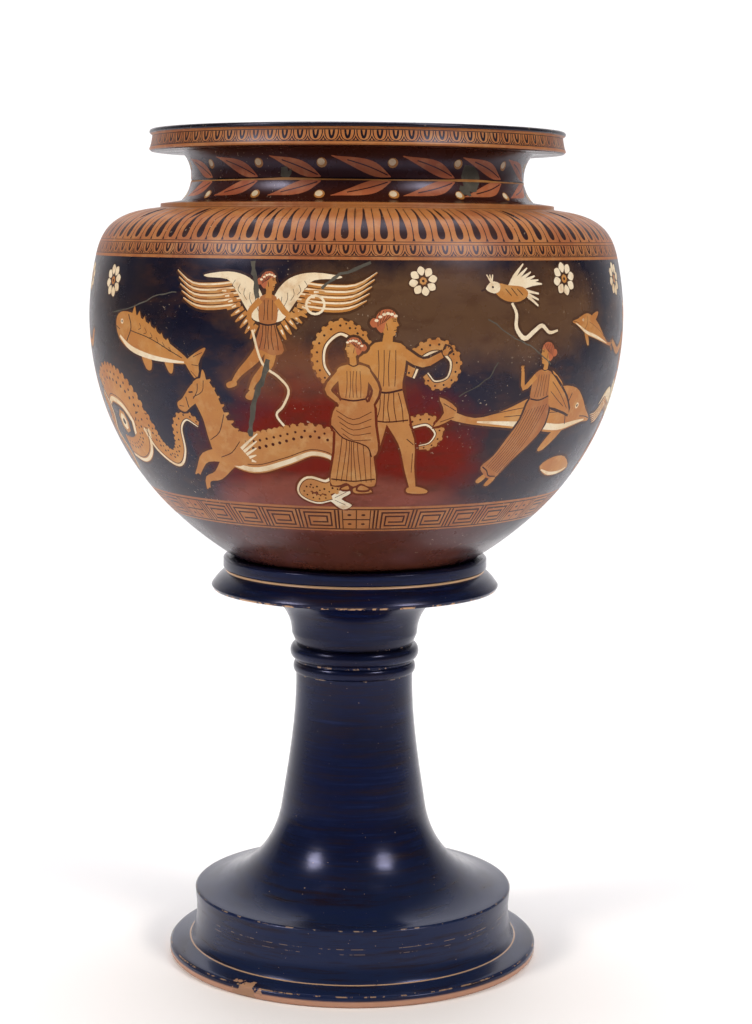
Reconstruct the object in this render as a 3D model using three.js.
// A round-bottomed mixing bowl, painted in the red-figure way, resting in its own tall black stand.
// Millimetres, +Z up. The origin is the centre of the stand's foot, on the ground.
// Both pieces were thrown on the wheel, so each is one closed profile turned round the Z axis.

import * as THREE from "three";

const SIDES = 46; // flat faces round each piece

// The stand's foot: a low flange with eased edges.
const FOOT_RADIUS = 126.9;
const FOOT_HEIGHT = 8.2;
const FOOT_EASE = 1.6;
const FOOT_TOP_RISE = 2.4;

// The drum above the foot: a short hollow-sided wall under a flat, sharp-edged top.
const DRUM_FOOT_RADIUS = 112.5;
const DRUM_WAIST_RADIUS = 108.2;
const DRUM_TOP_RADIUS = 109.3;
const DRUM_WAIST_HEIGHT = 33;
const DRUM_TOP_HEIGHT = 45.9;
const DRUM_EDGE = 1.1;

// The stem: a trumpet that rises from the drum and narrows to its neck.
const STEM_FOOT_RADIUS = 49.7;
const STEM_FOOT_HEIGHT = 102;
const STEM_TOP_RADIUS = 40;
const STEM_TOP_HEIGHT = 190;

// Two turned rings and a thin ridge round the top of the stem.
const LOWER_RING_SWELL = 1.9;
const LOWER_RING_HEIGHT = 199.5;
const LOWER_RING_DEPTH = 7.4;
const UPPER_RING_SWELL = 4;
const UPPER_RING_HEIGHT = 210.4;
const UPPER_RING_DEPTH = 11;
const RIDGE_SWELL = 3;
const RIDGE_HEIGHT = 220.5;
const RIDGE_DEPTH = 5;

// The saucer: it spreads from the stem to a sharp lip, and carries a grooved collar.
const SPREAD_RADIUS = 72;
const SPREAD_HEIGHT = 252.5;
const LIP_RADIUS = 97.9;
const LIP_HEIGHT = 256.6;
const LIP_DEPTH = 2.2;
const CONE_TOP_RADIUS = 88.7;
const CONE_TOP_HEIGHT = 266.2;
const CONE_SWELL = 1.3;
const GROOVE_RADIUS = 87.9;
const GROOVE_WIDTH = 1.9;
const COLLAR_RADIUS = 89.8;
const COLLAR_HEIGHT = 276.6;
const COLLAR_EASE = 1.5;

// The seat: a narrow cone inside the collar, cut to the curve of the bowl.
const SEAT_RADIUS = 82.5;
const SEAT_INNER_RADIUS = 79;
const SEAT_GAP = 0.3;

// The inside of the stand, open from the dish down through the stem to the ground.
const STAND_WALL = 8;
const DISH_RADIUS = 72;
const DISH_CLEARANCE = 8;

// The bowl's underbody: a round bottom, a flatter flank and a belly, three arcs that meet smoothly.
const BELLY_RADIUS = 178.7;
const FLANK_RADIUS = 240;
const FLANK_TOP_ANGLE = 45; // degrees from straight down
const BOTTOM_EDGE_RADIUS = 60;
const SHOULDER_START_ANGLE = 99.5; // degrees from straight down
const BOWL_WALL = 6;

// The shoulder, from the belly in to the ring at the foot of the neck.
const SHOULDER_RISE = 42.8;
const SHOULDER_LOW_HANDLE = 25.5;
const SHOULDER_HIGH_HANDLE = 36.8;
const SHOULDER_SLOPE = 5.6; // degrees

// The ring and the neck.
const RING_RADIUS = 131.3;
const RING_EDGE = 2.5;
const RING_TOP_RISE = 2;
const NECK_FOOT_RADIUS = 117.8;
const NECK_WAIST_RADIUS = 110.9;
const NECK_TOP_RADIUS = 117.2;
const NECK_HEIGHT = 32;

// The overhanging rim: a slightly hollow face between a sharp lower edge and a round top bead.
const RIM_RADIUS = 138.7;
const RIM_HEIGHT = 14.5;
const RIM_LOWER_EDGE = 1.5;
const RIM_NOTCH_RADIUS = 136.4;
const BEAD_RADIUS = 138.4;
const BEAD_HEIGHT = 3.4;
const MOUTH_EASE = 2;

const at = (radius, height) => new THREE.Vector2(radius, height);
const radians = THREE.MathUtils.degToRad;

// A point on a circle, the angle counted in degrees from straight down.
function onCircle(centre, radius, angle) {
  const turn = radians(angle);
  return at(centre.x + radius * Math.sin(turn), centre.y - radius * Math.cos(turn));
}

// Points along a circle between two angles.
function arc(centre, radius, from, to, steps) {
  const points = [];
  for (let i = 0; i <= steps; i += 1) {
    points.push(onCircle(centre, radius, from + ((to - from) * i) / steps));
  }
  return points;
}

// Points along a smooth curve that leaves start towards one handle and reaches end from the other.
function sweep(start, startHandle, endHandle, end, steps) {
  return new THREE.CubicBezierCurve(start, startHandle, endHandle, end).getPoints(steps);
}

// A half-round moulding that swells from a wall, between two heights.
function moulding(wallRadius, swell, middle, depth, steps) {
  const points = [];
  for (let i = 0; i <= steps; i += 1) {
    const turn = (Math.PI * i) / steps;
    points.push(at(wallRadius + swell * Math.sin(turn), middle - (depth / 2) * Math.cos(turn)));
  }
  return points;
}

// A profile without the points that repeat the one before them.
function withoutRepeats(points) {
  return points.filter((point, i) => i === 0 || point.distanceTo(points[i - 1]) > 0.01);
}

// Turns a profile round the Z axis. It runs up the outside and down the inside.
function turned(profile) {
  return new THREE.LatheGeometry(withoutRepeats(profile), SIDES).rotateX(Math.PI / 2);
}

// Centres and joints of the three arcs of the underbody, in the bowl's own heights: its bottom is at 0.
const flankOffset = FLANK_RADIUS - BELLY_RADIUS;
const flankCentreRadius = -flankOffset * Math.sin(radians(FLANK_TOP_ANGLE));
const bottomAngle = THREE.MathUtils.radToDeg(
  Math.asin((BOTTOM_EDGE_RADIUS - flankCentreRadius) / FLANK_RADIUS),
);
const bottomRadius = BOTTOM_EDGE_RADIUS / Math.sin(radians(bottomAngle));
const bottomCentre = at(0, bottomRadius);
const bottomEdgeHeight = bottomRadius * (1 - Math.cos(radians(bottomAngle)));
const flankCentre = at(
  flankCentreRadius,
  bottomEdgeHeight + FLANK_RADIUS * Math.cos(radians(bottomAngle)),
);
const bellyCentre = at(0, flankCentre.y - flankOffset * Math.cos(radians(FLANK_TOP_ANGLE)));

// Angle and height on the flank, moved out by a gap, at a given radius.
const flankAngle = (radius, gap) =>
  THREE.MathUtils.radToDeg(Math.asin((radius - flankCentre.x) / (FLANK_RADIUS + gap)));
const flankHeight = (radius, gap) =>
  onCircle(flankCentre, FLANK_RADIUS + gap, flankAngle(radius, gap)).y;

// The bowl stands where its flank is one gap above the seat.
const bowlHeight = COLLAR_HEIGHT - flankHeight(SEAT_RADIUS, SEAT_GAP);

function underbody(inset) {
  const seatFrom = flankAngle(SEAT_INNER_RADIUS, 0);
  const seatTo = flankAngle(SEAT_RADIUS, 0);
  return [
    ...arc(bottomCentre, bottomRadius - inset, 0, bottomAngle, 2),
    ...arc(flankCentre, FLANK_RADIUS - inset, bottomAngle, seatFrom, 1),
    ...arc(flankCentre, FLANK_RADIUS - inset, seatFrom, seatTo, 1),
    ...arc(flankCentre, FLANK_RADIUS - inset, seatTo, FLANK_TOP_ANGLE, 2),
    ...arc(bellyCentre, BELLY_RADIUS - inset, FLANK_TOP_ANGLE, SHOULDER_START_ANGLE, 6),
  ];
}

// The shoulder leaves the belly along its curve and meets the end point at the shoulder's slope.
// An end that lies inside the ring has its handle longer by as much, so that both faces stay parallel.
function shoulder(inset, end, steps) {
  const start = onCircle(bellyCentre, BELLY_RADIUS - inset, SHOULDER_START_ANGLE);
  const rising = radians(SHOULDER_START_ANGLE);
  const slope = radians(SHOULDER_SLOPE);
  const startHandle = at(
    start.x + SHOULDER_LOW_HANDLE * Math.cos(rising),
    start.y + SHOULDER_LOW_HANDLE * Math.sin(rising),
  );
  const endReach = SHOULDER_HIGH_HANDLE + RING_RADIUS - end.x;
  const endHandle = at(end.x + endReach * Math.cos(slope), end.y - endReach * Math.sin(slope));
  return sweep(start, startHandle, endHandle, end, steps);
}

function bowl() {
  const shoulderStart = onCircle(bellyCentre, BELLY_RADIUS, SHOULDER_START_ANGLE).y;
  const ringFoot = shoulderStart + SHOULDER_RISE;
  const neckFoot = ringFoot + RING_EDGE + RING_TOP_RISE;
  const neckTop = neckFoot + NECK_HEIGHT;
  const rimTop = neckTop + RIM_HEIGHT;
  const beadFoot = rimTop - BEAD_HEIGHT;
  const neckPull = (4 * NECK_WAIST_RADIUS - (NECK_FOOT_RADIUS + NECK_TOP_RADIUS) / 2) / 3;
  const innerFoot = NECK_FOOT_RADIUS - BOWL_WALL;
  const innerFootHeight =
    ringFoot - BOWL_WALL + (RING_RADIUS - innerFoot) * Math.tan(radians(SHOULDER_SLOPE));
  const mouthRadius = NECK_TOP_RADIUS - BOWL_WALL - BOWL_WALL / 2;

  const outside = [
    ...underbody(0),
    ...shoulder(0, at(RING_RADIUS, ringFoot), 5),
    at(RING_RADIUS, ringFoot + RING_EDGE),
    ...sweep(
      at(NECK_FOOT_RADIUS, neckFoot),
      at(neckPull, neckFoot + NECK_HEIGHT / 4),
      at(neckPull, neckTop - NECK_HEIGHT / 4),
      at(NECK_TOP_RADIUS, neckTop),
      4,
    ),
    at(RIM_RADIUS - RIM_LOWER_EDGE, neckTop),
    at(RIM_RADIUS, neckTop + RIM_LOWER_EDGE),
    at(RIM_NOTCH_RADIUS + (RIM_RADIUS - RIM_NOTCH_RADIUS) / 4, (neckTop + beadFoot) / 2),
    ...moulding(RIM_NOTCH_RADIUS, BEAD_RADIUS - RIM_NOTCH_RADIUS, rimTop - BEAD_HEIGHT / 2, BEAD_HEIGHT, 3),
  ];
  const inside = [
    ...underbody(BOWL_WALL),
    ...shoulder(BOWL_WALL, at(innerFoot, innerFootHeight), 4),
    ...sweep(
      at(innerFoot, innerFootHeight),
      at(neckPull - BOWL_WALL, innerFootHeight + NECK_HEIGHT / 4),
      at(neckPull - BOWL_WALL / 2, neckTop - NECK_HEIGHT / 2),
      at(mouthRadius, neckTop),
      3,
    ),
    at(mouthRadius, rimTop - MOUTH_EASE),
    at(mouthRadius + MOUTH_EASE, rimTop),
  ];
  return turned([...outside, ...inside.reverse()]).translate(0, 0, bowlHeight);
}

function stand() {
  const flatEdge = at(DRUM_TOP_RADIUS - DRUM_EDGE, DRUM_TOP_HEIGHT);
  const stemHeight = STEM_TOP_HEIGHT - STEM_FOOT_HEIGHT;
  const flareHeight = STEM_FOOT_HEIGHT - DRUM_TOP_HEIGHT;
  const flareWidth = flatEdge.x - STEM_FOOT_RADIUS;
  const drumTopFace = STEM_FOOT_RADIUS + flareWidth * 0.25;
  const ringWall = STEM_TOP_RADIUS;
  const neckStart = RIDGE_HEIGHT + RIDGE_DEPTH / 2;
  const seatLow = bowlHeight + flankHeight(SEAT_INNER_RADIUS, SEAT_GAP);
  const bore = STEM_TOP_RADIUS - STAND_WALL;
  const drumInside = DRUM_WAIST_RADIUS - STAND_WALL;
  const flareInside = DRUM_TOP_HEIGHT - STAND_WALL;

  const outside = [
    at(FOOT_RADIUS - FOOT_EASE, 0),
    at(FOOT_RADIUS, FOOT_EASE),
    at(FOOT_RADIUS, FOOT_HEIGHT - FOOT_EASE),
    at(FOOT_RADIUS - FOOT_EASE, FOOT_HEIGHT),
    ...sweep(
      at(DRUM_FOOT_RADIUS, FOOT_HEIGHT + FOOT_TOP_RISE),
      at(DRUM_WAIST_RADIUS + 1, FOOT_HEIGHT + (DRUM_WAIST_HEIGHT - FOOT_HEIGHT) / 3),
      at(DRUM_WAIST_RADIUS, FOOT_HEIGHT + (DRUM_WAIST_HEIGHT - FOOT_HEIGHT) / 1.5),
      at(DRUM_WAIST_RADIUS, DRUM_WAIST_HEIGHT),
      3,
    ),
    at(DRUM_TOP_RADIUS, DRUM_TOP_HEIGHT - DRUM_EDGE),
    ...sweep(
      flatEdge,
      at(drumTopFace, DRUM_TOP_HEIGHT + flareHeight * 0.11),
      at(STEM_FOOT_RADIUS + flareWidth * 0.05, DRUM_TOP_HEIGHT + flareHeight * 0.68),
      at(STEM_FOOT_RADIUS, STEM_FOOT_HEIGHT),
      6,
    ),
    ...sweep(
      at(STEM_FOOT_RADIUS, STEM_FOOT_HEIGHT),
      at(STEM_FOOT_RADIUS - (STEM_FOOT_RADIUS - STEM_TOP_RADIUS) * 0.45, STEM_FOOT_HEIGHT + stemHeight / 3),
      at(STEM_TOP_RADIUS, STEM_TOP_HEIGHT - stemHeight / 3),
      at(STEM_TOP_RADIUS, STEM_TOP_HEIGHT),
      3,
    ),
    ...moulding(ringWall, LOWER_RING_SWELL, LOWER_RING_HEIGHT, LOWER_RING_DEPTH, 3),
    ...moulding(ringWall, UPPER_RING_SWELL, UPPER_RING_HEIGHT, UPPER_RING_DEPTH, 4),
    ...sweep(
      at(ringWall + RIDGE_SWELL, neckStart),
      at(ringWall + RIDGE_SWELL, neckStart + (SPREAD_HEIGHT - neckStart) * 0.45),
      at(ringWall + RIDGE_SWELL + (SPREAD_RADIUS - ringWall) * 0.28, SPREAD_HEIGHT - LIP_DEPTH),
      at(SPREAD_RADIUS, SPREAD_HEIGHT),
      4,
    ),
    at(LIP_RADIUS - LIP_DEPTH / 2, LIP_HEIGHT - LIP_DEPTH),
    at(LIP_RADIUS, LIP_HEIGHT),
    at((LIP_RADIUS + CONE_TOP_RADIUS) / 2 + CONE_SWELL, (LIP_HEIGHT + CONE_TOP_HEIGHT) / 2 + CONE_SWELL),
    at(CONE_TOP_RADIUS, CONE_TOP_HEIGHT),
    at(GROOVE_RADIUS, CONE_TOP_HEIGHT + GROOVE_WIDTH / 2),
    at(COLLAR_RADIUS, CONE_TOP_HEIGHT + GROOVE_WIDTH * 1.5),
    at(COLLAR_RADIUS, COLLAR_HEIGHT - COLLAR_EASE),
    at(COLLAR_RADIUS - COLLAR_EASE, COLLAR_HEIGHT),
    at(SEAT_RADIUS, COLLAR_HEIGHT),
    at(SEAT_INNER_RADIUS, seatLow),
  ];
  const inside = [
    at(drumInside, 0),
    at(drumInside, flareInside - DRUM_EDGE),
    ...sweep(
      at(drumInside - DRUM_EDGE, flareInside),
      at(drumTopFace - STAND_WALL / 2, flareInside + flareHeight * 0.11),
      at(STEM_FOOT_RADIUS + flareWidth * 0.05 - STAND_WALL, flareInside + flareHeight * 0.68),
      at(STEM_FOOT_RADIUS - STAND_WALL, STEM_FOOT_HEIGHT),
      4,
    ),
    at(bore, STEM_TOP_HEIGHT),
    ...sweep(
      at(bore, neckStart),
      at(bore, SPREAD_HEIGHT - STAND_WALL),
      at((bore + DISH_RADIUS) / 2, SPREAD_HEIGHT + STAND_WALL),
      at(DISH_RADIUS, seatLow - DISH_CLEARANCE - STAND_WALL / 2),
      3,
    ),
    at(SEAT_INNER_RADIUS - 1, seatLow - DISH_CLEARANCE),
  ];
  const loop = [...outside, ...inside.reverse()];
  return turned([...loop, loop[0]]);
}

// The slip is the glossy black coat of fine clay that both pieces were dipped and painted with.
const clay = new THREE.MeshStandardMaterial({ color: 0xb17d65, roughness: 0.6, metalness: 0 });
const slip = new THREE.MeshStandardMaterial({ color: 0x191e38, roughness: 0.3, metalness: 0 });

function piece(name, geometry, material) {
  const mesh = new THREE.Mesh(geometry, material);
  mesh.name = name;
  return mesh;
}

const dinos = new THREE.Group();
dinos.add(piece("stand", stand(), slip));
dinos.add(piece("bowl", bowl(), clay));

export default dinos;
